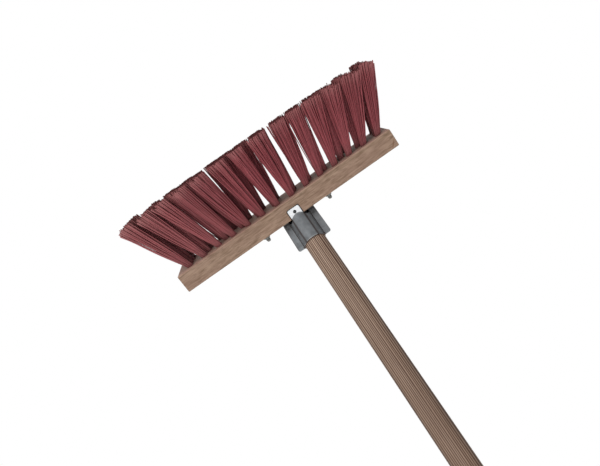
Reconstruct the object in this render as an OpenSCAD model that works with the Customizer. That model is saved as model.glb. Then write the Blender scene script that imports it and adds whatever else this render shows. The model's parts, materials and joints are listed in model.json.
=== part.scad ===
// Street push broom: beech block, four rows of fanned bristle tufts, a two-shell
// sheet steel holder and a round wooden handle that pulls out of it.
// Origin: centre of the block's plan, in the plane of the bristle tips. +Z is up,
// +X runs along the block, and the handle leans forward over -Y.

/* [Block] */
// Length of the block
block_l = 320; // [280:5:600]
// Depth of the block, front to back
block_w = 56; // [50:1:80]
// Thickness of the block
block_t = 24; // [20:1:35]

/* [Bristles] */
// Height of the block's underside above the bristle tips
trim_h = 88; // [60:1:110]
// Diameter of the holes that hold the tufts
hole_d = 8; // [5:0.5:9]
// Depth of those holes
hole_depth = 15; // [12:0.5:17]
// Diameter of a tuft at its tips
tip_d = 13; // [8:0.5:14]
// Tufts on each side of the middle, in an outer row
outer_count = 7; // [4:1:7]
// Spacing of the tufts in an outer row
outer_pitch = 22; // [20:0.5:22]
// Tufts on each side of the middle, in an inner row
inner_count = 6; // [4:1:6]
// First tuft of an inner row, from the middle
inner_first = 14.4; // [12:0.2:16]
// Spacing of the first two tufts of an inner row
inner_pitch = 23.8; // [22:0.2:24]
// Growth of that spacing from one tuft to the next
inner_growth = 1; // [0:0.1:1]
// Distance between two rows
row_gap = 11.3; // [11:0.1:12]
// Lean of the last tuft towards the end of the block
end_lean = 22; // [0:1:24]
// Lean of the outer rows, away from the middle of the block
row_splay = 4; // [0:0.5:8]
// Sideways offset of the whole hole pattern
pattern_x = -2; // [-3:0.5:3]
// Further sideways offset of the two rear rows
rear_shift = -1.8; // [-2:0.2:2]

/* [Holder] */
// Sideways offset of the holder on the block
holder_x = -4; // [-8:0.5:8]
// Lean of the handle, forward from the vertical
tilt = 40; // [30:1:50]
// Height of the holder's mouth along the handle's axis, from the block's top
mouth_h = 47.2; // [42:0.2:70]
// Thickness of the sheet steel
sheet_t = 1.2; // [1:0.1:2]
// Width over the wings at the mouth
wing_w = 48.2; // [44:0.2:56]
// Width over the wings at the block
wing_w_low = 46.8; // [42:0.2:54]
// Width of the tongue and of the raised band above it
tongue_w = 16.8; // [14:0.2:18]
// Distance between the two studs of the base
stud_span = 97; // [90:1:98]

/* [Handle] */
// Diameter of the handle
handle_d = 28; // [24:0.5:28]
// Length of the handle
handle_l = 1400; // [900:10:1600]

/* [Hidden] */
$fn = 64;

block_top = trim_h + block_t;
front_y = -block_w / 2;
far = 400;

// Tufts: rows 1 to 4 run from the front to the back of the block
root_d = hole_d - 0.2;
root_l = hole_depth - 0.8;
brush_l = trim_h * 1.2;
brush_d = root_d + (tip_d - root_d) * brush_l / trim_h;
end_x = outer_pitch * (outer_count - 0.5);
lean_power = [0.8, 0.8, 1.2, 1.2];
anchor = [hole_d + 0.6, 0.5, 2.6];
anchor_h = root_l - 4.4;
anchor_play = 0.1;

// Holder: its own frame has Z along the handle and -Y towards the front
axis_y = front_y + 18.5;
bore_r = handle_d / 2 + 0.05;
shell_r = bore_r + sheet_t;
band_r = shell_r + 1;
shell_low = -30;
wing_corner_r = 2.5;
wing_gap_z = 5;
tongue_drop = 12.5;
tongue_top = -1.2;
tongue_corner_r = 2;
tongue_y = front_y + 0.5;
recess_gap = 1;
recess_y = tongue_y + sheet_t;
skirt = [
    [tongue_w / 2, -6], [tongue_w / 2, -0.3], [10.5, 3], [13, wing_gap_z],
    [40, wing_gap_z], [40, 80]
];

// Base plate of the rear shell, its studs and their nuts
plate_l = stud_span + 22;
plate_y = [-12, 15];
plate_corner_r = 6;
stud_x = 1;
stud_d = 6;
stud_low = -16;
stud_high = 12.2;
stud_nose = 3;
stud_tip_d = 3.6;
stud_play = 0.2;
washer_d = 11;
washer_t = 1;
nut_af = 9;
nut_h = 4.7;
nut_z = sheet_t + washer_t;

// Nail of the tongue
nail_d = 2.5;
nail_l = 24;
nail_head_d = 4.4;
nail_head_h = 1;
nail_head_r = 3;
nail_z = -6.9;

// Handle
handle_low = 15;
handle_chamfer = 1.5;
dome_r = 9;

// Position along X of tuft i of a row, on the right of the middle
function outer_x(i) = outer_pitch * (i + 0.5);
function inner_x(i) = inner_first + inner_pitch * i + inner_growth * i * (i - 1) / 2;
function row_x(row, i) = row == 1 || row == 4 ? outer_x(i) : inner_x(i);
function row_count(row) = row == 1 || row == 4 ? outer_count : inner_count;
function row_y(row) = (row - 2.5) * row_gap;
function lean(row, x) = end_lean * pow(x / end_x, lean_power[row - 1]);
function row_shift(row) = pattern_x + (row > 2 ? rear_shift : 0);
function splay(row) = row_splay * (row - 2.5) / 1.5;

// Places its children at the hole of tuft i, with +Z into the block
module at_tuft(row, side, i) {
    x = row_x(row, i);
    translate([row_shift(row) + side * x, row_y(row), trim_h])
        rotate([splay(row), side * -lean(row, x), 0])
            children();
}

module at_row(row, side) {
    for (i = [0 : row_count(row) - 1])
        at_tuft(row, side, i) children();
}

// Places its children in the holder's frame
module at_holder() {
    translate([holder_x, axis_y, block_top])
        rotate([tilt, 0, 0])
            children();
}

// Places its children at both studs, on the block's top
module at_studs() {
    for (side = [-1, 1])
        translate([holder_x + stud_x + side * stud_span / 2, 0, block_top])
            children();
}

// A flat plate in XY with its four corners rounded
module rounded_plate(low, high, r, t) {
    linear_extrude(t)
        union() {
            translate([low.x + r, low.y])
                square([high.x - low.x - 2 * r, high.y - low.y]);
            translate([low.x, low.y + r])
                square([high.x - low.x, high.y - low.y - 2 * r]);
            for (x = [low.x + r, high.x - r], y = [low.y + r, high.y - r])
                translate([x, y]) circle(r);
        }
}

module block() {
    color("tan")
        difference() {
            translate([-block_l / 2, front_y, trim_h])
                cube([block_l, block_w, block_t]);
            for (row = [1 : 4], side = [-1, 1])
                at_row(row, side)
                    translate([0, 0, -hole_d])
                        cylinder(d = hole_d, h = hole_d + hole_depth);
            recess();
            at_studs()
                translate([0, 0, stud_low])
                    cylinder(d = stud_d, h = -stud_low + 1);
            nail_shank();
        }
}

// The pocket in the block's front face that the tongue lies in
module recess() {
    w = tongue_w + 2 * recess_gap;
    translate([holder_x, recess_y, block_top])
        rotate([90, 0, 0])
            rounded_plate([-w / 2, -tongue_drop - recess_gap], [w / 2, far],
                tongue_corner_r, far);
}

// One tuft: a straight root that is folded over its anchor, and a flared brush that
// is longer than the trim, so that a leaning tuft reaches the plane of the tips
module tuft() {
    difference() {
        union() {
            cylinder(d = root_d, h = root_l);
            mirror([0, 0, 1])
                cylinder(d1 = root_d, d2 = brush_d, h = brush_l);
        }
        translate([0, 0, anchor_h + anchor.z / 2])
            cube(anchor + 2 * anchor_play * [1, 1, 1], center = true);
    }
}

module bristles(row, side) {
    color("brown")
        intersection() {
            at_row(row, side) tuft();
            translate([-far, -far, 0]) cube(2 * far);
        }
}

module anchors(row) {
    color("silver")
        for (side = [-1, 1])
            at_row(row, side)
                translate([0, 0, anchor_h + anchor.z / 2])
                    cube(anchor, center = true);
}

// Both wings as one flat outline, from the block's top to the mouth
module wing_plate() {
    r = wing_corner_r;
    linear_extrude(sheet_t)
        union() {
            polygon([
                [-wing_w_low / 2, 0], [wing_w_low / 2, 0],
                [wing_w / 2, mouth_h - r], [wing_w / 2 - r, mouth_h],
                [r - wing_w / 2, mouth_h], [-wing_w / 2, mouth_h - r]
            ]);
            for (side = [-1, 1])
                translate([side * (wing_w / 2 - r), mouth_h - r]) circle(r);
        }
}

// The tube, its raised band and the wings of one shell; front is 1 or -1
module half_shell(front) {
    difference() {
        union() {
            intersection() {
                translate([0, 0, shell_low]) cylinder(r = shell_r, h = mouth_h - shell_low);
                translate([-far / 2, front > 0 ? -far : 0, -far / 2]) cube(far);
            }
            intersection() {
                translate([0, 0, shell_low]) cylinder(r = band_r, h = mouth_h - shell_low);
                translate([-tongue_w / 2, front > 0 ? -far : 0, -far / 2])
                    cube([tongue_w, far, far]);
            }
            translate([0, front > 0 ? 0 : sheet_t, 0])
                rotate([90, 0, 0])
                    wing_plate();
        }
        translate([0, 0, 2 * shell_low]) cylinder(r = bore_r, h = far);
    }
}

module front_shell() {
    color("silver")
        difference() {
            union() {
                intersection() {
                    at_holder() half_shell(1);
                    skirt_prism();
                    front_space();
                }
                tongue();
            }
            nail_shank();
        }
}

// Outline of the front shell's lower edge, extruded from front to back
module skirt_prism() {
    outline = concat(skirt, [for (k = [len(skirt) - 1 : -1 : 0]) [-skirt[k].x, skirt[k].y]]);
    translate([holder_x, far / 2, block_top])
        rotate([90, 0, 0])
            linear_extrude(far)
                polygon(outline);
}

// The space outside the block: above its top, and in front of the recess's floor
module front_space() {
    union() {
        translate([-far / 2, -far / 2, block_top]) cube(far);
        translate([-far / 2, recess_y - far, 0]) cube(far);
    }
}

module tongue() {
    translate([holder_x, recess_y, block_top])
        rotate([90, 0, 0])
            rounded_plate([-tongue_w / 2, -tongue_drop], [tongue_w / 2, tongue_top],
                tongue_corner_r, sheet_t);
}

module nail_shank() {
    translate([holder_x, tongue_y, block_top + nail_z])
        rotate([-90, 0, 0])
            cylinder(d = nail_d, h = nail_l);
}

module tongue_nail() {
    color("dimgray")
        union() {
            nail_shank();
            translate([holder_x, tongue_y, block_top + nail_z])
                rotate([90, 0, 0])
                    intersection() {
                        cylinder(d = nail_head_d, h = nail_head_h);
                        translate([0, 0, nail_head_h - nail_head_r]) sphere(r = nail_head_r);
                    }
        }
}

module rear_shell() {
    color("silver")
        difference() {
            union() {
                intersection() {
                    at_holder() half_shell(-1);
                    translate([-far / 2, -far / 2, block_top]) cube(far);
                }
                translate([holder_x + stud_x, 0, block_top])
                    rounded_plate([-plate_l / 2, plate_y[0]], [plate_l / 2, plate_y[1]],
                        plate_corner_r, sheet_t);
            }
            at_studs()
                translate([0, 0, -1]) cylinder(d = stud_d + 2 * stud_play, h = sheet_t + 2);
        }
}

module base_studs() {
    color("gray")
        at_studs()
            union() {
                translate([0, 0, stud_low])
                    cylinder(d = stud_d, h = stud_high - stud_nose - stud_low);
                translate([0, 0, stud_high - stud_nose])
                    cylinder(d1 = stud_d, d2 = stud_tip_d, h = stud_nose);
            }
}

module base_washers() {
    color("silver")
        at_studs()
            translate([0, 0, sheet_t])
                difference() {
                    cylinder(d = washer_d, h = washer_t);
                    translate([0, 0, -1]) cylinder(d = stud_d + 2 * stud_play, h = washer_t + 2);
                }
}

module base_nuts() {
    color("silver")
        at_studs()
            translate([0, 0, nut_z])
                difference() {
                    cylinder(d = nut_af / cos(30), h = nut_h, $fn = 6);
                    translate([0, 0, -1]) cylinder(d = stud_d, h = nut_h + 2);
                }
}

// Outline of half the handle, turned about its axis
module handle() {
    r = handle_d / 2;
    color("peru")
        at_holder()
            translate([0, 0, handle_low])
                rotate_extrude()
                    union() {
                        polygon([
                            [0, 0], [r - handle_chamfer, 0], [r, handle_chamfer],
                            [r, handle_l - dome_r], [0, handle_l - dome_r]
                        ]);
                        translate([0, handle_l - dome_r - 1])
                            square([r - dome_r, dome_r + 1]);
                        intersection() {
                            translate([r - dome_r, handle_l - dome_r]) circle(dome_r);
                            translate([r - dome_r, handle_l - dome_r]) square(dome_r);
                        }
                    }
}

block();
bristles(1, -1);  // bristles_row_1_left
bristles(1, 1);  // bristles_row_1_right
bristles(2, -1);  // bristles_row_2_left
bristles(2, 1);  // bristles_row_2_right
bristles(3, -1);  // bristles_row_3_left
bristles(3, 1);  // bristles_row_3_right
bristles(4, -1);  // bristles_row_4_left
bristles(4, 1);  // bristles_row_4_right
anchors(1);  // anchors_row_1
anchors(2);  // anchors_row_2
anchors(3);  // anchors_row_3
anchors(4);  // anchors_row_4
front_shell();
rear_shell();
tongue_nail();
base_studs();
base_washers();
base_nuts();
handle();
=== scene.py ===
"""Looks of a street push broom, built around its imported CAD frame.

Lengths are in millimetres up to the last step, where each mesh is scaled to metres.
The frame: origin under the block's centre, in the plane of the bristle tips; +Z up,
+X along the block, and the handle leans forward over -Y.
"""
import json
import math
import random

import bmesh
import bpy
import numpy as np
from mathutils import Matrix, Vector, noise

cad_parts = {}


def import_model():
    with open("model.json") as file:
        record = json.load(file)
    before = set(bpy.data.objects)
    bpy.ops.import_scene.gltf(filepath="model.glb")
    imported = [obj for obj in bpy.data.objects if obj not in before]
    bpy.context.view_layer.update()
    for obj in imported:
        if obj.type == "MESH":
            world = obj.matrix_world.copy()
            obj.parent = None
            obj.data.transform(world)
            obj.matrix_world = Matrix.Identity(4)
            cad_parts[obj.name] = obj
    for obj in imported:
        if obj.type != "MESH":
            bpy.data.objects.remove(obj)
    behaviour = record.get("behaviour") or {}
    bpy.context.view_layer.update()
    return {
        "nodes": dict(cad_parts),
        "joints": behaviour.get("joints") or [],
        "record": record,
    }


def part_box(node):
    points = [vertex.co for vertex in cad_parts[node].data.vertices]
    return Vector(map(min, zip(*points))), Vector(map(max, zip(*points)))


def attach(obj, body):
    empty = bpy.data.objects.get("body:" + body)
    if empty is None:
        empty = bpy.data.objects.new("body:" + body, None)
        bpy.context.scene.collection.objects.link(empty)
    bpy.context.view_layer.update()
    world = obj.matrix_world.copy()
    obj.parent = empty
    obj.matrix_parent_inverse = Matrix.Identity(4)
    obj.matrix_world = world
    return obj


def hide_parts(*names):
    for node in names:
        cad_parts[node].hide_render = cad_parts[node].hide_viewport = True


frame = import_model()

rng = random.Random(7)
MM = 0.001


# ---------------------------------------------------------------- places from the frame

def box_mm(node):
    """Lowest and highest corner of a CAD node, in millimetres."""
    low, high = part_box(node)
    return low / MM, high / MM


def mount(name):
    return next(m for m in frame["record"]["mounts"] if m["name"] == name)


block_low, block_high = box_mm("block")
block_top = block_high.z
shell_low, _ = box_mm("front_shell")
stud_low, stud_high = box_mm("base_studs")
stud_r = stud_high.y
plate_low, plate_high = box_mm("rear_shell")

# The holder's own frame: Z along the handle, -Y to the front, origin where the
# handle's axis meets the block's top
pull = next(j for j in frame["joints"] if j["name"] == "handle_pull")
axis = Vector(pull["axis"]).normalized()
tilt = math.atan2(-axis.y, axis.z)
on_axis = Vector(mount("handle_shaft")["pos_m"]) / MM
holder_foot = on_axis - axis * ((on_axis.z - block_top) / axis.z)
holder_x = holder_foot.x
holder = Matrix.Translation(holder_foot) @ Matrix.Rotation(tilt, 4, "X")

handle_r = mount("handle_shaft")["dims"]["r_mm"]
sheet_t = 1.2
tube_r = handle_r + 0.05 + sheet_t
band_r = tube_r + 1.0
band_half = 8.4
tongue_y = block_low.y + 0.5
wing_half = (24.1, 23.4)
wing_corner = 2.5
wing_gap = 5.0
mouth = 47.2
plate_y = (-12.0, 15.0)
plate_corner = 6.0
stud_play = 0.2


# ---------------------------------------------------------------- mesh helpers

def to_object(bm, name, matrix=None, material=None, smooth_angle=35):
    """Makes an object of a mesh in millimetres; matrix places it, in millimetres."""
    bmesh.ops.recalc_face_normals(bm, faces=bm.faces)
    mesh = bpy.data.meshes.new(name)
    bm.to_mesh(mesh)
    bm.free()
    mesh.transform(Matrix.Scale(MM, 4))
    piece = bpy.data.objects.new(name, mesh)
    bpy.context.scene.collection.objects.link(piece)
    if matrix is not None:
        placed = matrix.copy()
        placed.translation *= MM
        piece.matrix_world = placed
    smooth(piece, smooth_angle)
    if material:
        mesh.materials.append(material)
    return piece


def smooth(piece, angle):
    mesh = piece.data
    mesh.polygons.foreach_set("use_smooth", [True] * len(mesh.polygons))
    mesh.set_sharp_from_angle(angle=math.radians(angle))


def apply_modifiers(piece):
    """Turns the piece's modifiers into plain mesh."""
    graph = bpy.context.evaluated_depsgraph_get()
    made = bpy.data.meshes.new_from_object(piece.evaluated_get(graph))
    made.name = piece.name
    piece.modifiers.clear()
    piece.data = made


def bevel(piece, width, segments=2, angle=50):
    mod = piece.modifiers.new("bevel", "BEVEL")
    mod.width = width * MM
    mod.segments = segments
    mod.limit_method = "ANGLE"
    mod.angle_limit = math.radians(angle)
    mod.harden_normals = False


def weighted_normals(piece):
    mod = piece.modifiers.new("weighted", "WEIGHTED_NORMAL")
    mod.keep_sharp = True


def cut(piece, tool):
    """Takes the tool away from the piece; the new faces get the tool's material."""
    mod = piece.modifiers.new("cut", "BOOLEAN")
    mod.operation = "DIFFERENCE"
    mod.solver = "EXACT"
    mod.material_mode = "TRANSFER"
    mod.object = tool
    apply_modifiers(piece)
    bpy.data.objects.remove(tool)


def rings_to_faces(bm, rings):
    """Quads between successive rings of vertices."""
    for a, b in zip(rings, rings[1:]):
        n = len(a)
        for k in range(n):
            bm.faces.new((a[k], a[(k + 1) % n], b[(k + 1) % n], b[k]))


def lathe(profile, sides, radius=None):
    """A solid turned about Z. profile is (r, z) from the bottom to the top, both ends on
    the axis or open; radius(angle, r, z) may change a point's distance from the axis."""
    bm = bmesh.new()
    rings = []
    for r, z in profile:
        ring = []
        for k in range(sides):
            angle = 2 * math.pi * k / sides
            rr = radius(angle, r, z) if radius else r
            ring.append(bm.verts.new((rr * math.cos(angle), rr * math.sin(angle), z)))
        rings.append(ring)
    rings_to_faces(bm, rings)
    return bm


# ---------------------------------------------------------------- materials

class Shader:
    """A node material. add() makes a node; an input is a constant or another's socket."""

    def __init__(self, name, **constants):
        self.material = bpy.data.materials.new(name)
        self.material.use_nodes = True
        self.tree = self.material.node_tree
        self.surface = self.tree.nodes["Principled BSDF"]
        for socket, value in constants.items():
            self.surface.inputs[socket.replace("_", " ")].default_value = value

    def add(self, kind, inputs=None, **settings):
        node = self.tree.nodes.new(kind)
        for key, value in settings.items():
            setattr(node, key, value)
        for socket, value in (inputs or {}).items():
            self.give(node.inputs[socket], value)
        return node

    def give(self, socket, value):
        if isinstance(value, bpy.types.NodeSocket):
            self.tree.links.new(value, socket)
        else:
            socket.default_value = value

    def colour(self, value):
        self.give(self.surface.inputs["Base Color"], value)

    def rough(self, value):
        self.give(self.surface.inputs["Roughness"], value)

    def place(self, scale, offset=(0, 0, 0)):
        """The piece's own coordinates, scaled."""
        source = self.add("ShaderNodeTexCoord").outputs["Object"]
        return self.add("ShaderNodeMapping", {
            "Vector": source, "Scale": scale, "Location": offset,
        }).outputs["Vector"]

    def noise(self, at, scale, detail=4.0, roughness=0.55, distortion=0.0):
        return self.add("ShaderNodeTexNoise", {
            "Vector": at, "Scale": scale, "Detail": detail, "Roughness": roughness,
            "Distortion": distortion,
        }).outputs["Fac"]

    def ramp(self, value, *stops):
        """A colour ramp; a stop is (position, colour) or (position, grey)."""
        node = self.add("ShaderNodeValToRGB", {"Fac": value})
        ramp = node.color_ramp
        while len(ramp.elements) < len(stops):
            ramp.elements.new(0.5)
        for element, (position, tone) in zip(ramp.elements, stops):
            element.position = position
            element.color = tone if isinstance(tone, tuple) else (tone, tone, tone, 1)
        return node.outputs["Color"]

    def mix(self, factor, a, b):
        node = self.add("ShaderNodeMix", data_type="RGBA")
        self.give(node.inputs["Factor"], factor)
        self.give(node.inputs["A"], a)
        self.give(node.inputs["B"], b)
        return node.outputs["Result"]

    def math(self, operation, a, b=0.0, clamp=False):
        node = self.add("ShaderNodeMath", operation=operation, use_clamp=clamp)
        self.give(node.inputs[0], a)
        self.give(node.inputs[1], b)
        return node.outputs["Value"]

    def underside(self):
        """1 where the piece's surface faces down, 0 on its other sides."""
        normal = self.add("ShaderNodeTexCoord").outputs["Normal"]
        z = self.add("ShaderNodeSeparateXYZ", {"Vector": normal}).outputs["Z"]
        return self.math("MULTIPLY", z, -1.0, clamp=True)

    def stroke(self, middle, turn, half_size):
        """1 inside a small slanting streak in the front face, fading at its edges."""
        at = self.add("ShaderNodeMapping", {
            "Vector": self.add("ShaderNodeTexCoord").outputs["Object"], "Location": middle,
            "Rotation": (0, math.radians(turn), 0), "Scale": half_size,
        }, vector_type="TEXTURE").outputs["Vector"]
        away = self.add("ShaderNodeVectorMath", {0: at}, operation="LENGTH").outputs["Value"]
        return self.ramp(away, (0.3, 0.75), (1.0, 0.0))

    def attribute(self, name):
        return self.add("ShaderNodeAttribute", attribute_name=name).outputs["Fac"]

    def bump(self, height, strength, distance):
        node = self.add("ShaderNodeBump", {
            "Height": height, "Strength": strength, "Distance": distance * MM,
        })
        self.give(self.surface.inputs["Normal"], node.outputs["Normal"])


def srgb(r, g, b):
    """A linear colour of an sRGB one, 0 to 255."""
    def linear(c):
        c /= 255
        return c / 12.92 if c <= 0.04045 else ((c + 0.055) / 1.055) ** 2.4
    return (linear(r), linear(g), linear(b), 1.0)


def beech(name="beech", hole_shade=0.0):
    """Planed beech, its grain along X: soft streaks, fine fibres and short dark flecks, with
    painted light making its underside lighter. hole_shade is how far the wood of a drilled
    hole or a cut pocket is darkened: painted shade inside these recesses."""
    s = Shader(name, Specular_IOR_Level=0.3)
    streaks = s.noise(s.place((7, 120, 210)), 1.0, detail=3, distortion=0.5)
    fibres = s.noise(s.place((60, 460, 560)), 1.0, detail=4, roughness=0.6, distortion=0.35)
    flecks = s.noise(s.place((110, 600, 800), (3, 1, 2)), 1.0, detail=2)
    tone = s.ramp(streaks, (0.25, srgb(117, 95, 77)), (0.45, srgb(125, 101, 83)),
                  (0.62, srgb(131, 107, 90)), (0.8, srgb(120, 97, 78)))
    tone = s.mix(s.ramp(fibres, (0.36, 0.7), (0.52, 0.0)), tone, srgb(88, 67, 48))
    tone = s.mix(s.ramp(fibres, (0.52, 0.0), (0.68, 0.4)), tone, srgb(152, 128, 106))
    tone = s.mix(s.ramp(flecks, (0.6, 0.0), (0.72, 0.5)), tone, srgb(70, 50, 36))
    blotch = s.noise(s.place((16, 60, 60), (5, 5, 5)), 1.0, detail=2)
    tone = s.mix(s.ramp(blotch, (0.4, 0.0), (0.75, 0.3)), tone, srgb(116, 88, 76))
    # Painted light: the underside is painted lighter, standing for more light reaching it
    tone = s.mix(s.math("MULTIPLY", s.underside(), 0.55), tone, srgb(158, 124, 112))
    tone = s.mix(s.stroke((-0.154, -0.028, 0.1063), -49, (0.008, 0.006, 0.0011)),
                 tone, srgb(92, 58, 34))
    # Painted shade: the wood of the holes and the pocket is darkened, standing for shade inside
    # these recesses
    s.colour(s.mix(hole_shade, tone, srgb(30, 20, 16)))
    s.rough(s.ramp(fibres, (0.3, 0.78), (0.7, 0.6)))
    s.bump(s.math("ADD", fibres, s.math("MULTIPLY", flecks, 0.6)), 0.35, 0.25)
    return s.material


def pole_wood():
    """Sanded softwood with strong dark growth lines that run along Z; painted shade darkens
    it away from the holder, and a painted shadow darkens it along the holder's mouth."""
    s = Shader("pole_wood", Specular_IOR_Level=0.35)
    wander = s.noise(s.place((60, 60, 2.2)), 1.0, detail=2)
    at = s.place((1, 0.35, 0.012))
    lines = s.add("ShaderNodeTexWave", {
        "Vector": at, "Scale": 150.0, "Distortion": 5.0, "Detail": 3.0,
        "Detail Scale": 1.4, "Detail Roughness": 0.6,
    }, wave_type="BANDS", bands_direction="X", wave_profile="SIN").outputs["Fac"]
    lines = s.math("ADD", lines, s.math("MULTIPLY", s.math("SUBTRACT", wander, 0.5), 0.7))
    fibres = s.noise(s.place((1500, 1500, 26)), 1.0, detail=5, roughness=0.7)
    tone = s.ramp(lines, (0.15, srgb(60, 38, 26)), (0.4, srgb(100, 76, 59)),
                  (0.66, srgb(134, 111, 93)), (0.95, srgb(156, 134, 116)))
    tone = s.mix(s.ramp(fibres, (0.35, 0.4), (0.6, 0.0)), tone, srgb(78, 58, 46))
    height = s.add("ShaderNodeSeparateXYZ", {"Vector": s.place((1, 1, 1))}).outputs["Z"]
    # Painted shadow: a dark ring just above the holder's mouth, where the shell's lip shades
    # the pole
    painted_mouth_shadow = s.add("ShaderNodeMapRange", {
        "Value": height, "From Min": mouth * MM, "From Max": (mouth + 1.6) * MM,
        "To Min": 0.75, "To Max": 0.0,
    }).outputs["Result"]
    # Painted shade: the pole darkens away from the holder, standing for the light falling off
    # along it
    painted_light_shift = s.add("ShaderNodeMapRange", {
        "Value": height, "From Min": (mouth + 15) * MM, "From Max": (mouth + 230) * MM,
        "To Min": 0.0, "To Max": 0.45,
    }).outputs["Result"]
    tone = s.mix(painted_light_shift, tone, srgb(72, 50, 36))
    s.colour(s.mix(painted_mouth_shadow, tone, srgb(58, 40, 30)))
    s.rough(s.ramp(fibres, (0.3, 0.72), (0.7, 0.55)))
    s.bump(s.math("ADD", s.math("MULTIPLY", fibres, 0.6), lines), 0.4, 0.25)
    return s.material


def zinc(name, tone, rough=0.42):
    """Dull zinc-plated steel: faint spangle, rolling marks, and what the mesh's attributes
    give:
    dirt with painted shade, and wear with a painted highlight."""
    s = Shader(name, Specular_IOR_Level=0.5)
    spangle = s.add("ShaderNodeTexVoronoi", {
        "Vector": s.place((1, 1, 1)), "Scale": 420.0,
    }, feature="F1").outputs["Color"]
    spangle = s.add("ShaderNodeRGBToBW", {"Color": spangle}).outputs["Val"]
    rolling = s.noise(s.place((1400, 1400, 35)), 1.0, detail=4, roughness=0.7)
    cloud = s.noise(s.place((1, 1, 1)), 120.0, detail=4)
    base = srgb(*tone)
    dark = srgb(*[c * 0.84 for c in tone])
    light = srgb(*[min(255, c * 1.12) for c in tone])
    colour = s.ramp(cloud, (0.3, dark), (0.5, base), (0.72, light))
    colour = s.mix(s.math("MULTIPLY", spangle, 0.14), colour, light)
    colour = s.mix(s.ramp(rolling, (0.35, 0.35), (0.6, 0.0)), colour, dark)
    wear_and_painted_highlight = s.attribute("wear_and_painted_highlight")
    # Lighter, barer metal where the mesh says: partly wear, partly a painted highlight
    colour = s.mix(wear_and_painted_highlight, colour, srgb(190, 190, 190))
    # Darker where the mesh says: dirt in creases, and painted shade
    s.colour(s.mix(s.attribute("dirt_and_shade"), colour, srgb(52, 40, 35)))
    bare = s.math("ADD", 0.4, s.math("MULTIPLY", wear_and_painted_highlight, 1.3), clamp=True)
    s.give(s.surface.inputs["Metallic"], bare)
    s.rough(s.math("ADD", s.math("MULTIPLY", cloud, 0.16),
                   s.math("ADD", s.math("MULTIPLY", rolling, 0.1), rough - 0.13)))
    s.bump(s.math("ADD", rolling, cloud), 0.12, 0.12)
    return s.material


def bristle_plastic():
    """Extruded plastic bristle: each has its own tone, a paler tip and paler tufts at the +X
    end that are partly dust and partly painted light, and a shaded root.
    """
    s = Shader("bristle_plastic", Specular_IOR_Level=0.3)
    colour = s.ramp(s.attribute("tone"), (0.0, srgb(108, 45, 50)), (0.5, srgb(124, 52, 57)),
                    (1.0, srgb(142, 68, 73)))
    along = s.noise(s.place((300, 300, 60)), 1.0, detail=3)
    colour = s.mix(s.ramp(along, (0.35, 0.25), (0.65, 0.0)), colour, srgb(92, 44, 46))
    # Paler colour: partly dust, partly painted light
    colour = s.mix(s.attribute("dust_and_painted_light"), colour, srgb(158, 104, 102))
    colour = s.mix(s.attribute("shade"), colour, srgb(96, 54, 52))
    s.colour(colour)
    s.rough(s.ramp(along, (0.3, 0.6), (0.7, 0.45)))
    s.bump(s.noise(s.place((2500, 2500, 120)), 1.0, detail=2), 0.2, 0.08)
    return s.material


def dark_steel():
    """Blackened steel with grime in patches."""
    s = Shader("dark_steel", Metallic=0.8)
    grime_and_painted_shade = s.noise(s.place((1, 1, 1)), 900.0, detail=4)
    s.colour(s.ramp(grime_and_painted_shade, (0.35, srgb(30, 32, 34)), (0.7, srgb(70, 70, 68))))
    s.rough(s.ramp(grime_and_painted_shade, (0.3, 0.6), (0.7, 0.4)))
    s.bump(grime_and_painted_shade, 0.3, 0.1)
    return s.material


beech_wood = beech()
# Beech darkened as painted shade, for the inside of the holes and the pocket
beech_cut_shaded = beech("beech_cut_shaded", hole_shade=0.9)
handle_wood = pole_wood()
zinc_sheet = zinc("zinc_sheet", tone=(98, 101, 103))
zinc_bolt = zinc("zinc_bolt", tone=(108, 107, 102), rough=0.36)
anchor_wire = zinc("anchor_wire", tone=(150, 150, 148), rough=0.3)
plastic = bristle_plastic()
nail_steel = dark_steel()


# ---------------------------------------------------------------- tufts, read from the frame

class Tuft:
    """Axis of one CAD tuft: its direction, its point at the block, and its tip."""

    def __init__(self, points):
        tips = points[points[:, 2] < 0.01]
        self.tip = Vector((tips.min(0) + tips.max(0)) / 2)
        upper = points[points[:, 2] > block_low.z + 5]
        middle = Vector((upper.min(0) + upper.max(0)) / 2)
        self.up = (middle - self.tip).normalized()
        self.mouth = self.tip + self.up * ((block_low.z - self.tip.z) / self.up.z)


def islands(node):
    """Each separate solid of a CAD node, as an array of its points in millimetres."""
    bm = bmesh.new()
    bm.from_mesh(frame["nodes"][node].data)
    bmesh.ops.remove_doubles(bm, verts=bm.verts, dist=1e-6)
    left = set(bm.verts)
    while left:
        found, edge = set(), [left.pop()]
        while edge:
            v = edge.pop()
            found.add(v)
            for e in v.link_edges:
                w = e.other_vert(v)
                if w in left:
                    left.remove(w)
                    edge.append(w)
        yield np.array([v.co for v in found]) / MM
    bm.free()


rows = [n for n in sorted(frame["nodes"]) if n.startswith("bristles_row_")]
tufts = {node: sorted((Tuft(p) for p in islands(node)), key=lambda t: t.mouth.x)
         for node in rows}


# ---------------------------------------------------------------- block

HOLE_R = 4.0
HOLE_DEPTH = 15.0
EDGE_R = 1.1
EDGE_WANDER = 0.18
POCKET_GAP = 1.0
POCKET_CORNER = 2.6


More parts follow.
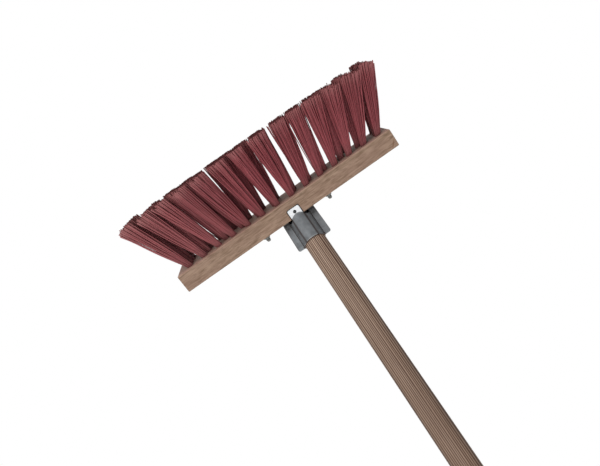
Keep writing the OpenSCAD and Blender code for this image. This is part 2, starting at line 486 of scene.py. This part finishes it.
def block():
    """The board: a swept rectangle whose rounded edges wander slightly, then drilled."""
    bm = bmesh.new()
    half_w, low, high = block_high.y, block_low.z, block_top
    length = block_high.x - block_low.x
    steps = 64
    stations = [EDGE_R * (1 - math.cos(a)) for a in (0, 0.55, 1.05, math.pi / 2)]
    xs = stations + [EDGE_R + (length - 2 * EDGE_R) * k / steps for k in range(1, steps)]
    xs += [length - x for x in reversed(stations)]
    rings = []
    for x in xs:
        inset = EDGE_R - min(x, length - x, EDGE_R)
        drop = EDGE_R - math.sqrt(max(EDGE_R ** 2 - inset ** 2, 0))
        ring = []
        for sy, sz, start in ((1, 1, 0), (-1, 1, 1), (-1, -1, 2), (1, -1, 3)):
            wear_and_painted_highlight = EDGE_WANDER * noise.noise(Vector((x * 0.05, sy * 7.0, sz * 3.0)))
            r = EDGE_R * 0.9 + wear_and_painted_highlight
            for k in range(4):
                a = math.radians(90 * start + 30 * k)
                y = sy * (half_w - drop - r) + r * math.cos(a)
                z_mid, z_half = (low + high) / 2, (high - low) / 2
                z = z_mid + sz * (z_half - drop - r) + r * math.sin(a)
                ring.append(bm.verts.new((block_low.x + x, y, z)))
        rings.append(ring)
    rings_to_faces(bm, rings)
    bm.faces.new(rings[0])
    bm.faces.new(rings[-1])
    piece = to_object(bm, "block_board", material=beech_wood)
    cut(piece, block_cutters())
    smooth(piece, 32)
    weighted_normals(piece)
    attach(piece, "head")
    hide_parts("block")


def block_cutters():
    """Tuft holes, stud holes and the tongue's pocket, as one tool."""
    bm = bmesh.new()

    def drill(mouth, up, radius, depth):
        turn = up.to_track_quat("Z", "Y").to_matrix().to_4x4()
        place = Matrix.Translation(mouth + up * ((depth - 10) / 2)) @ turn
        bmesh.ops.create_cone(bm, cap_ends=True, segments=40, radius1=radius,
                              radius2=radius, depth=depth + 10, matrix=place)

    for node in rows:
        for t in tufts[node]:
            drill(t.mouth, t.up, HOLE_R, HOLE_DEPTH)
    for x in stud_centres():
        drill(Vector((x, 0, block_top)), Vector((0, 0, -1)), stud_r, block_top - stud_low.z)
    outline = pocket_outline(band_half + POCKET_GAP, block_top - shell_low.z + POCKET_GAP,
                             POCKET_CORNER)
    near, far = block_low.y - 5, tongue_y + sheet_t
    front = [bm.verts.new((holder_x + x, near, block_top + z)) for x, z in outline]
    back = [bm.verts.new((holder_x + x, far, block_top + z)) for x, z in outline]
    rings_to_faces(bm, [front, back])
    bm.faces.new(front)
    bm.faces.new(back)
    # The cut faces take the darkened beech: painted shade inside the holes and the pocket
    return to_object(bm, "cutters", material=beech_cut_shaded)


def pocket_outline(half, drop, radius, above=6.0):
    """A rectangle open to the top, with its two lower corners rounded."""
    points = [(half, above), (-half, above)]
    for side, start in ((-1, 180), (1, 270)):
        for k in range(7):
            a = math.radians(start + 15 * k)
            points.append((side * (half - radius) + radius * math.cos(a),
                           radius - drop + radius * math.sin(a)))
    return points


def stud_centres():
    half = (stud_high.x - stud_low.x) / 2 - stud_r
    mid = (stud_high.x + stud_low.x) / 2
    return mid - half, mid + half


# ---------------------------------------------------------------- bristles

BRISTLES = 100
BRISTLE_R = 0.54
TIP_SWELL = 0.12
ROOT_DEPTH = 6
PACK_R = 3.35
SPREAD_X = 11.4
SPREAD_Y = 8.6
STRAYS = 0.04
END_RISE = 5.0
TIP_ROUGHNESS = 1.4
SHADE_LENGTH = 12
# Dust of the tufts at the +X end, partly painted light that lifts the shade between them, and
# the share of a bristle where the paler tip starts, partly dust and partly painted light
END_DUST_AND_LIGHT = 0.24
PALE_TIP_FROM = 0.85
# How far each tuft's tips have wandered towards -X, from the tuft at the +X end on
WANDER = {
    "1": (0, 0, -1.0, 0, 0, 0, 0, 0, 3.7, 0.6, -3, 0, 4, 0),
    "2": (0, 0, 3.7, 0, 3.6, 3.7, 0, 0, -8.1, 0, 0, 0),
    "3": (0, 0, 0, 0, 0, 0, 0, 1.2, -3.8, 0, 0, 0),
    "4": (0, 0, 1.9, 0, 11.8, 3.8, 2.6, 0, 6.5, 6.5, 3.5, 9, 0, -3),
}
# Fullness of the tufts that are fuller or thinner than chance makes them: (row, place)
FULL = {
    ("1", 4): 1.1, ("1", 7): 1.22, ("1", 8): 0.93, ("1", 11): 1.12, ("1", 12): 1.2,
    ("2", 7): 0.93, ("3", 7): 0.93, ("4", 4): 0.97, ("4", 8): 0.93,
}


def bristles(node):
    """Every bristle of the node's tufts, as a bent five-sided strand."""
    bm = bmesh.new()
    layers = [bm.verts.layers.float.new(name) for name in ("tone", "dust_and_painted_light", "shade")]
    row, side = node.split("_")[2:]
    count = len(tufts[node])
    for place, tuft in enumerate(tufts[node]):
        index = (count if side == "right" else 2 * count) - 1 - place
        across = tuft.up.cross(Vector((0, 1, 0))).normalized()
        depth = tuft.up.cross(across).normalized()
        tuft_tone = rng.uniform(-0.12, 0.12)
        trim = rng.gauss(0, 0.7)
        fullness = FULL.get((row, index), rng.uniform(0.86, 1.04))
        lopsided = rng.gauss(0, 0.4) - WANDER[row][index] * math.copysign(1, across.x)
        for k in range(BRISTLES):
            share = math.sqrt((k + 0.5) / BRISTLES)
            angle = k * 2.39996 + rng.uniform(-0.2, 0.2)
            x, y = math.cos(angle) * share, math.sin(angle) * share
            start = across * (PACK_R * x) + depth * (PACK_R * y)
            reach = fullness * rng.uniform(0.82, 1.06)
            if rng.random() < STRAYS:
                reach *= 1.3
            end = across * (SPREAD_X * x * reach + lopsided + rng.gauss(0, 1.0))
            end += depth * (SPREAD_Y * y * reach + rng.gauss(0, 0.9))
            bow = across * rng.gauss(0, 0.8) + depth * rng.gauss(0, 0.8)
            strand(bm, tuft, start, end, bow, layers,
                   min(1, max(0, 0.5 + tuft_tone + rng.gauss(0, 0.2))),
                   trim + 1.2 * noise.noise(end * 0.25 + tuft.mouth))
    piece = to_object(bm, node.replace("bristles", "tufts"),
                      material=plastic, smooth_angle=75)
    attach(piece, "head")
    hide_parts(node)


def strand(bm, tuft, start, end, bow, layers, tone, trim):
    """One bristle, from inside the hole to its cut tip near the plane of the tips. The
    tips rise towards the ends of the block."""
    down = -tuft.up
    side = tuft.up.orthogonal().normalized()
    other = tuft.up.cross(side)
    length = (tuft.mouth - tuft.tip).length
    end_rise = END_RISE * (abs(tuft.mouth.x) / 150) ** 3
    stop = length - end_rise / abs(down.z) + trim + rng.gauss(0.0, TIP_ROUGHNESS)
    steps = 8
    twist = rng.uniform(0, math.pi)
    rings = []
    for i in range(steps + 1):
        f = i / steps
        reach = -ROOT_DEPTH + (stop + ROOT_DEPTH) * f
        flare = max(0, reach / length)
        offset = start.lerp(end, flare ** 0.86) + bow * math.sin(math.pi * flare)
        centre = tuft.mouth + down * reach + offset
        # Paler tufts at the +X end: partly dust, partly painted light that lifts the shade
        # between them
        painted_light_shift = END_DUST_AND_LIGHT * min(1, max(0, (tuft.mouth.x - 20) / 100))
        # Paler tip: partly dust, partly painted light on the tips
        dust_and_painted_light = painted_light_shift + 3.5 * max(0, f - PALE_TIP_FROM)
        values = (tone, dust_and_painted_light, max(0, 1 - max(0, reach) / SHADE_LENGTH))
        radius = BRISTLE_R + TIP_SWELL * flare
        ring = []
        for j in range(5):
            a = twist + math.pi * 0.4 * j
            p = centre + radius * (side * math.cos(a) + other * math.sin(a))
            p.z = max(p.z, 0.15)
            v = bm.verts.new(p)
            for layer, value in zip(layers, values):
                v[layer] = value
            ring.append(v)
        rings.append(ring)
    rings_to_faces(bm, rings)
    bm.faces.new(rings[0])
    bm.faces.new(rings[-1])


# ---------------------------------------------------------------- shells of the holder

SHELL_ROWS = 40
BEND = 1.1
TONGUE_CORNER = 2.0
# Painted shade: the length over which the block's shadow is painted up the wings' feet, and how
# much darker the -X wing is painted as the side away from the light
FOOT_SHADE_LENGTH = 13.0
SIDE_SHADE = 0.14
# Spot-weld dents of a wing: (distance from the middle, height), then their size
DIMPLES = [(18.6, 12.0), (18.9, 36.0)]
DIMPLE_R = 2.4
DIMPLE_DEPTH = 0.45


def half_section():
    """Right half of a shell's outer outline, from the middle to the wing's edge, as
    (x, y, wing share, darkening); y is negative to the front. Share scales the wing's width.
    The darkening is dirt in the creases, partly painted shade, and painted shade at the wing's
    edge."""
    points = []
    band_end = math.degrees(math.asin(band_half / band_r))
    for k in range(9):
        a = math.radians(band_end * k / 8)
        # The band's last point: dirt in its crease, partly painted shade
        points.append((band_r * math.sin(a), -band_r * math.cos(a), 0, 0.7 * (k == 8)))
    crease_start = math.degrees(math.asin((band_half + 0.7) / tube_r))
    fillet = 1.2
    centre_y = -(sheet_t + fillet)
    centre_x = math.sqrt((tube_r + fillet) ** 2 - centre_y ** 2)
    tube_end = math.degrees(math.atan2(centre_x, -centre_y))
    for k in range(8):
        a = math.radians(crease_start + (tube_end - crease_start) * k / 7)
        # Dirt in the creases of the tube, partly painted shade there
        dirt_and_shade = (0.9, 0.1, 0, 0, 0, 0.02, 0.18, 0.8)[k]
        points.append((tube_r * math.sin(a), -tube_r * math.cos(a), 0, dirt_and_shade))
    first = math.atan2(points[-1][1] - centre_y, points[-1][0] - centre_x)
    for k in range(1, 5):
        # Dirt in the crease where the tube meets the wing, partly painted shade
        a = first + (math.pi / 2 - first) * k / 4
        points.append((centre_x + fillet * math.cos(a), centre_y + fillet * math.sin(a),
                       0, (1.0, 0.8, 0.25, 0.0)[k - 1]))
    flat_from = points[-1][0]
    # The flat wing; its last two points get painted shade along the outer edge, where the
    # sheet's edge lies in shadow
    for k in range(1, 11):
        points.append((flat_from, -sheet_t, k / 10, (0.25, 0.5)[k - 9] if k > 8 else 0))
    return points


def wing_x(x, share, s):
    """x of a wing point at height s along the holder."""
    edge = wing_half[1] + (wing_half[0] - wing_half[1]) * min(1, max(0, s / mouth))
    return x + (edge - x) * share


def mouth_at(x, share):
    """Height of the shell's upper edge, rounded at the wing's corner."""
    inside = wing_half[0] - wing_corner
    if x <= inside:
        return mouth
    d = min(x - inside, wing_corner * 0.999)
    return mouth - wing_corner + math.sqrt(wing_corner ** 2 - d ** 2)


def columns(points):
    """Both halves of the section, left to right."""
    left = [(-x, y, share, dirt_and_shade) for x, y, share, dirt_and_shade in reversed(points[1:])]
    return left + points


def skirt_z(x):
    """Lower edge of the front shell beside the tongue, above the block's top."""
    x = abs(x)
    if x < 10.5:
        return -0.3 + 3.3 * max(0, x - band_half) / (10.5 - band_half)
    if x < 13:
        return 3.0 + 2.0 * (x - 10.5) / 2.5
    return wing_gap


def dimple(x, s):
    """Depth of the spot-weld dents at a point of a wing."""
    depth = 0
    for dx, ds in DIMPLES:
        d = math.hypot(abs(x) - dx, s - ds) / DIMPLE_R
        if d < 1:
            depth = max(depth, DIMPLE_DEPTH * math.cos(d * math.pi / 2))
    return depth


def front_shell():
    """Pressed sheet: wings, tube, raised band, and the tongue bent down the block."""
    bm = bmesh.new()
    layers = sheet_layers(bm)
    section = columns(half_section())
    rise, run = math.sin(tilt), math.cos(tilt)
    grid = []
    for x0, y, share, dirt_and_shade in section:
        in_band = abs(x0) <= band_half + 1e-6
        if in_band:
            meet = (holder_foot.y - tongue_y + y * run) / rise
            lowest_s = meet + BEND
        else:
            lowest_s = (skirt_z(x0 if not share else 20) - y * rise) / run
        column = shell_column(bm, x0, y, share, dirt_and_shade, lowest_s, layers)
        if in_band:
            column += tongue_column(bm, x0, y, meet, layers)
        grid.append(column)
    for a, b in zip(grid, grid[1:]):
        for i in range(min(len(a), len(b)) - 1):
            bm.faces.new((a[i], a[i + 1], b[i + 1], b[i]))
    finish_sheet(bm, "front_shell_sheet", "front_shell")


def sheet_layers(bm):
    return bm.verts.layers.float.new("dirt_and_shade"), bm.verts.layers.float.new("wear_and_painted_highlight")


def shell_column(bm, x0, y, share, dirt_and_shade, lowest_s, layers):
    """Points of the outer surface at one place of the section, from the mouth down."""
    rise, run = math.sin(tilt), math.cos(tilt)
    side = math.copysign(1, x0) if x0 else 1
    front = math.copysign(1, -y)
    top = mouth_at(abs(wing_x(abs(x0), share, mouth)), share)
    column = []
    for i in range(SHELL_ROWS + 1):
        s = top + (lowest_s - top) * i / SHELL_ROWS
        x = side * wing_x(abs(x0), share, s)
        dent = front * dimple(x, s) if share else 0
        p = Vector((x, holder_foot.y + (y + dent) * run - s * rise,
                    block_top + (y + dent) * rise + s * run))
        # Painted shadow of the block on the wings' feet
        grime_and_painted_shade = 0.05 * min(1, max(0, 1 - (s - 5) / FOOT_SHADE_LENGTH)) if share else 0
        # Painted shade: the -X wing is darker, as the side away from the light
        if share and side < 0:
            grime_and_painted_shade += SIDE_SHADE
        # Painted shade: dark tube sides at the mouth, standing for the shaded gaps beside the
        # handle
        if not share and abs(x0) > 0.93 * tube_r and i < 2:
            grime_and_painted_shade = 1
        # Lighter, barer metal on the mouth's lip: partly wear, partly a painted highlight
        wear_and_painted_highlight = (0.7 if abs(x0) <= band_half else 0.25) * (i == 0 and not share)
        column.append(place_vertex(bm, p, layers, max(dirt_and_shade, grime_and_painted_shade), wear_and_painted_highlight))
    return column


def place_vertex(bm, p, layers, dirt_and_shade, wear_and_painted_highlight=0.0):
    v = bm.verts.new((p.x + holder_x, p.y, p.z))
    v[layers[0]], v[layers[1]] = dirt_and_shade, wear_and_painted_highlight
    return v


def tongue_column(bm, x, y, meet, layers):
    """The bend from the band to the tongue, and the tongue to its rounded end."""
    rise, run = math.sin(tilt), math.cos(tilt)
    corner = Vector((x, tongue_y, block_top + y * rise + meet * run))
    upper = corner + Vector((0, -rise, run)) * BEND
    r = TONGUE_CORNER
    d = max(0, abs(x) - (band_half - r))
    bottom = shell_low.z + r - math.sqrt(max(r ** 2 - d ** 2, 0))
    lower = corner + Vector((0, 0, -BEND))
    made = []
    # Lighter, barer metal over the bend and the tongue: partly wear, partly a painted highlight
    # for the tongue's bright reflection
    for k in range(1, 7):
        f = k / 6
        p = upper.lerp(corner, f).lerp(corner.lerp(lower, f), f)
        made.append(place_vertex(bm, p, layers, 0, 0.4 * f))
    for k in range(1, 9):
        z = lower.z + (bottom - lower.z) * k / 8
        made.append(place_vertex(bm, Vector((x, tongue_y, z)), layers, 0, 0.4))
    return made


def finish_sheet(bm, name, node, outward=-1):
    """Gives the sheet its thickness and soft edges, and hides the CAD node."""
    bmesh.ops.recalc_face_normals(bm, faces=bm.faces)
    bm.faces.ensure_lookup_table()
    total = sum((f.normal * f.calc_area() for f in bm.faces), Vector())
    if total.y * outward < 0:
        bmesh.ops.reverse_faces(bm, faces=bm.faces)
    mesh = bpy.data.meshes.new(name)
    bm.to_mesh(mesh)
    bm.free()
    mesh.transform(Matrix.Scale(MM, 4))
    piece = bpy.data.objects.new(name, mesh)
    bpy.context.scene.collection.objects.link(piece)
    thick = piece.modifiers.new("thickness", "SOLIDIFY")
    thick.thickness = sheet_t * MM
    thick.offset = -1
    thick.use_even_offset = True
    bevel(piece, 0.3, segments=2, angle=60)
    apply_modifiers(piece)
    smooth(piece, 40)
    piece.data.materials.append(zinc_sheet)
    weighted_normals(piece)
    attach(piece, "head")
    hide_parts(node)


def rear_shell():
    """Wings and tube down to the block's top, on a flat base plate with a weld bead."""
    bm = bmesh.new()
    layers = sheet_layers(bm)
    grid = []
    for x0, y, share, dirt_and_shade in columns(half_section()):
        lowest_s = (sheet_t * 0.5 + y * math.sin(tilt)) / math.cos(tilt)
        grid.append(shell_column(bm, x0, -y, share, dirt_and_shade, lowest_s, layers))
    for a, b in zip(grid, grid[1:]):
        for i in range(SHELL_ROWS):
            bm.faces.new((a[i], a[i + 1], b[i + 1], b[i]))
    finish_sheet(bm, "rear_shell_sheet", "rear_shell", outward=1)
    base_plate()


def base_plate():
    """The plate under the studs' nuts, joined to the shell by a bead of weld."""
    bm = bmesh.new()
    r = plate_corner
    low, high = Vector((plate_low.x, plate_y[0])), Vector((plate_high.x, plate_y[1]))
    outline = []
    for cx, cy, start in ((high.x - r, high.y - r, 0), (low.x + r, high.y - r, 90),
                          (low.x + r, low.y + r, 180), (high.x - r, low.y + r, 270)):
        for k in range(9):
            a = math.radians(start + 90 * k / 8)
            outline.append((cx + r * math.cos(a), cy + r * math.sin(a)))
    bottom = [bm.verts.new((x, y, block_top)) for x, y in outline]
    top = [bm.verts.new((x, y, block_top + sheet_t)) for x, y in outline]
    rings_to_faces(bm, [bottom, top])
    bm.faces.new(bottom)
    bm.faces.new(top)
    plate = to_object(bm, "base_plate", material=zinc_sheet)
    holes = bmesh.new()
    for x in stud_centres():
        bmesh.ops.create_cone(holes, cap_ends=True, segments=40, radius1=stud_r + stud_play,
                              radius2=stud_r + stud_play, depth=10,
                              matrix=Matrix.Translation((x, 0, block_top)))
    cut(plate, to_object(holes, "plate_holes"))
    bevel(plate, 0.35, segments=2, angle=50)
    apply_modifiers(plate)
    smooth(plate, 40)
    weighted_normals(plate)
    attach(plate, "head")
    weld_bead()


def weld_bead():
    """A rippled bead along the foot of the rear tube."""
    bm = bmesh.new()
    rise, run = math.sin(tilt), math.cos(tilt)
    rings = []
    steps = 60
    for i in range(steps + 1):
        a = math.radians(-88 + 176 * i / steps)
        x, y = tube_r * math.sin(a), tube_r * math.cos(a)
        s = (sheet_t - y * rise) / run
        at = Vector((holder_x + x, holder_foot.y + y * run - s * rise, block_top + sheet_t))
        out = Vector((math.sin(a), math.cos(a) / run, 0)).normalized()
        r = 1.25 + 0.22 * math.sin(i * 1.9) + 0.12 * noise.noise(Vector((i * 0.4, 0, 0)))
        ends = math.sqrt(max(0.02, 1 - (2 * i / steps - 1) ** 8))
        ring = []
        for k in range(8):
            b = 2 * math.pi * k / 8
            ring.append(bm.verts.new(at + (out * math.cos(b) * 1.1
                                           + Vector((0, 0, math.sin(b)))) * r * ends))
        rings.append(ring)
    rings_to_faces(bm, rings)
    bm.faces.new(rings[0])
    bm.faces.new(rings[-1])
    piece = to_object(bm, "weld_bead", material=zinc_sheet,
                      smooth_angle=70)
    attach(piece, "head")


# ---------------------------------------------------------------- fasteners

def place_at_studs(bm_of, name, material, node, smooth_angle=35):
    """One piece of two equal fasteners, on the studs' axes."""
    bm = bmesh.new()
    for x in stud_centres():
        part = bm_of()
        mesh = bpy.data.meshes.new("part")
        part.to_mesh(mesh)
        part.free()
        mesh.transform(Matrix.Translation((x, 0, block_top)))
        bm.from_mesh(mesh)
        bpy.data.meshes.remove(mesh)
    piece = to_object(bm, name, material=material, smooth_angle=smooth_angle)
    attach(piece, "head")
    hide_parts(node)


def stud():
    """A rod with a thread above the block's top and a tapered, rounded nose."""
    top, bottom, nose = stud_high.z - block_top, stud_low.z - block_top, 3.0
    pitch, depth, thread_low, steps = 1.0, 0.32, 0.6, 72
    profile = [(0.01, bottom), (stud_r - 0.3, bottom), (stud_r, bottom + 0.4),
               (stud_r, thread_low - 0.1)]
    for k in range(steps + 1):
        profile.append((stud_r, thread_low + (top - nose - thread_low) * k / steps))
    profile += [(2.3, top - 0.9), (1.9, top - 0.2), (1.5, top), (0.01, top)]

    def thread(angle, r, z):
        if z < thread_low - 0.05 or z > top - nose + 0.01:
            return r
        turn = (z / pitch - angle / (2 * math.pi)) % 1.0
        return r - depth * abs(2 * turn - 1)

    return lathe(profile, 36, thread)


def nut():
    """A hexagon nut with chamfered corners and a bore."""
    box_low, box_high = box_mm("base_nuts")
    apothem, height, low = box_high.y, box_high.z - box_low.z, box_low.z - block_top
    corner = apothem / math.cos(math.pi / 6)
    bore = stud_r
    heights = [0, 0.2, 0.4, 0.7, 1.1]
    heights += [height - h for h in reversed(heights)]
    profile = [(bore, low + 0.3), (bore + 0.3, low)]
    profile += [(corner, low + h) for h in heights]
    profile += [(bore + 0.3, low + height), (bore, low + height - 0.3), (bore, low + 0.3)]

    def hexagon(angle, r, z):
        if r < corner:
            return r
        sixth = (angle + math.pi / 6) % (math.pi / 3) - math.pi / 6
        flat = apothem / math.cos(sixth)
        edge = min(z - low, low + height - z)
        return min(flat, apothem * 0.97 + edge * 1.1)

    return lathe(profile, 96, hexagon)


def washer():
    """A flat washer with a rolled-over outer edge."""
    box_low, box_high = box_mm("base_washers")
    outer, inner, low, t = box_high.y, stud_r + stud_play, sheet_t, box_high.z - box_low.z
    profile = [(inner, low), (outer - 0.2, low), (outer, low + 0.2), (outer, low + t - 0.4),
               (outer - 0.15, low + t - 0.1), (outer - 0.45, low + t), (inner + 0.1, low + t),
               (inner, low + t - 0.1), (inner, low)]
    return lathe(profile, 64)


def tongue_nail():
    """A round-headed nail that holds the tongue on the block."""
    low, high = box_mm("tongue_nail")
    head_r = (high.x - low.x) / 2
    length = high.y - low.y
    profile = [(0.01, 0), (0.5 * head_r, 0.06), (0.8 * head_r, 0.22), (0.96 * head_r, 0.5),
               (head_r, 0.8), (0.97 * head_r, 1.0), (1.25, 1.0), (1.25, length - 2.5),
               (0.05, length)]
    bm = lathe(profile, 40)
    bmesh.ops.rotate(bm, verts=bm.verts, matrix=Matrix.Rotation(-math.pi / 2, 3, "X"))
    bmesh.ops.translate(bm, verts=bm.verts,
                        vec=((low.x + high.x) / 2, low.y, (low.z + high.z) / 2))
    piece = to_object(bm, "nail_round_head", material=nail_steel)
    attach(piece, "head")
    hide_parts("tongue_nail")


# ---------------------------------------------------------------- handle

def handle():
    """The round pole, with a turned end at the top and a small chamfer at the bottom."""
    points = np.array([v.co for v in frame["nodes"]["handle"].data.vertices]) / MM
    along = (points - np.array(holder_foot)) @ np.array(axis)
    low, high = along.min(), along.max()
    dome = 9.0
    profile = [(0.01, low), (handle_r - 1.6, low), (handle_r - 0.5, low + 0.6),
               (handle_r, low + 1.6)]
    steps = 60
    for k in range(1, steps):
        profile.append((handle_r, low + 1.6 + (high - dome - low - 1.6) * k / steps))
    for k in range(9):
        a = math.radians(90 * k / 8)
        profile.append((handle_r - dome + dome * math.cos(a), high - dome + dome * math.sin(a)))
    profile.append((0.01, high))
    bm = lathe(profile, 72)
    piece = to_object(bm, "handle_pole", matrix=holder,
                      material=handle_wood, smooth_angle=40)
    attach(piece, "handle")
    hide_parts("handle")


# ---------------------------------------------------------------- stage, lights, camera

def floor():
    """A pale floor that shows only from above, so that it never hides the object."""
    bm = bmesh.new()
    bmesh.ops.create_grid(bm, x_segments=2, y_segments=2, size=9000)
    piece = to_object(bm, "floor")
    s = Shader("floor", Base_Color=(0.86, 0.86, 0.86, 1), Roughness=0.75)
    back = s.add("ShaderNodeNewGeometry").outputs["Backfacing"]
    clear = s.add("ShaderNodeBsdfTransparent").outputs["BSDF"]
    mixed = s.add("ShaderNodeMixShader", {0: back, 1: s.surface.outputs["BSDF"], 2: clear})
    s.give(s.tree.nodes["Material Output"].inputs["Surface"], mixed.outputs["Shader"])
    piece.data.materials.append(s.material)
    piece.visible_shadow = False


def world():
    """Even pale surroundings; the background itself is seen as plain white."""
    made = bpy.data.worlds.new("studio")
    bpy.context.scene.world = made
    made.use_nodes = True
    tree = made.node_tree
    light = tree.nodes["Background"]
    light.inputs["Color"].default_value = (0.95, 0.97, 1.0, 1)
    light.inputs["Strength"].default_value = 0.64
    seen = tree.nodes.new("ShaderNodeBackground")
    seen.inputs["Color"].default_value = (1, 1, 1, 1)
    seen.inputs["Strength"].default_value = 1.0
    path = tree.nodes.new("ShaderNodeLightPath")
    mixed = tree.nodes.new("ShaderNodeMixShader")
    tree.links.new(path.outputs["Is Camera Ray"], mixed.inputs[0])
    tree.links.new(light.outputs["Background"], mixed.inputs[1])
    tree.links.new(seen.outputs["Background"], mixed.inputs[2])
    tree.links.new(mixed.outputs["Shader"], tree.nodes["World Output"].inputs["Surface"])


def softbox(name, direction, distance, size, power, target=(0, 0, 0.08)):
    """A large square area light that shines at the target from a direction."""
    data = bpy.data.lights.new(name, "AREA")
    data.shape = "SQUARE"
    data.size = size
    data.energy = power
    lamp = bpy.data.objects.new(name, data)
    away = Vector(direction).normalized()
    lamp.location = Vector(target) + away * distance
    lamp.rotation_mode = "QUATERNION"
    lamp.rotation_quaternion = away.to_track_quat("Z", "Y")
    bpy.context.scene.collection.objects.link(lamp)


def camera():
    """The photograph's view: from the front, just under the plane of the tips, rolled."""
    data = bpy.data.cameras.new("camera")
    data.lens = 33.14
    data.sensor_width = 36
    data.shift_x = -0.0548
    data.shift_y = -0.0672
    data.clip_start, data.clip_end = 0.05, 50
    lens = bpy.data.objects.new("camera", data)
    right = Vector((-0.8183, -0.1620, 0.5515)).normalized()
    forward = Vector((-0.03785, 0.97255, 0.22959)).normalized()
    up = right.cross(forward).normalized()
    right = forward.cross(up)
    matrix = Matrix((right, up, -forward)).transposed().to_4x4()
    matrix.translation = Vector((-0.0304, -0.7008, -0.0457))
    lens.matrix_world = matrix
    bpy.context.scene.collection.objects.link(lens)
    bpy.context.scene.camera = lens


# ---------------------------------------------------------------- the whole broom

block()
for row in rows:
    bristles(row)
front_shell()
rear_shell()
place_at_studs(stud, "stud_pair", zinc_bolt, "base_studs")
place_at_studs(nut, "nut_pair", zinc_bolt, "base_nuts", smooth_angle=25)
place_at_studs(washer, "washer_pair", zinc_bolt, "base_washers")
tongue_nail()
handle()
for row in (n for n in frame["nodes"] if n.startswith("anchors_row_")):
    frame["nodes"][row].data.materials.clear()
    frame["nodes"][row].data.materials.append(anchor_wire)

floor()
world()
softbox("front", (0.10, -0.95, 0.22), 2.7, 1.5, 40)
softbox("below_left", (0.25, -0.50, -0.80), 2.2, 2.0, 30)
softbox("above", (0.2, 0.3, 1.0), 2.4, 2.0, 24)
camera()
bpy.context.scene.view_settings.view_transform = "Standard"
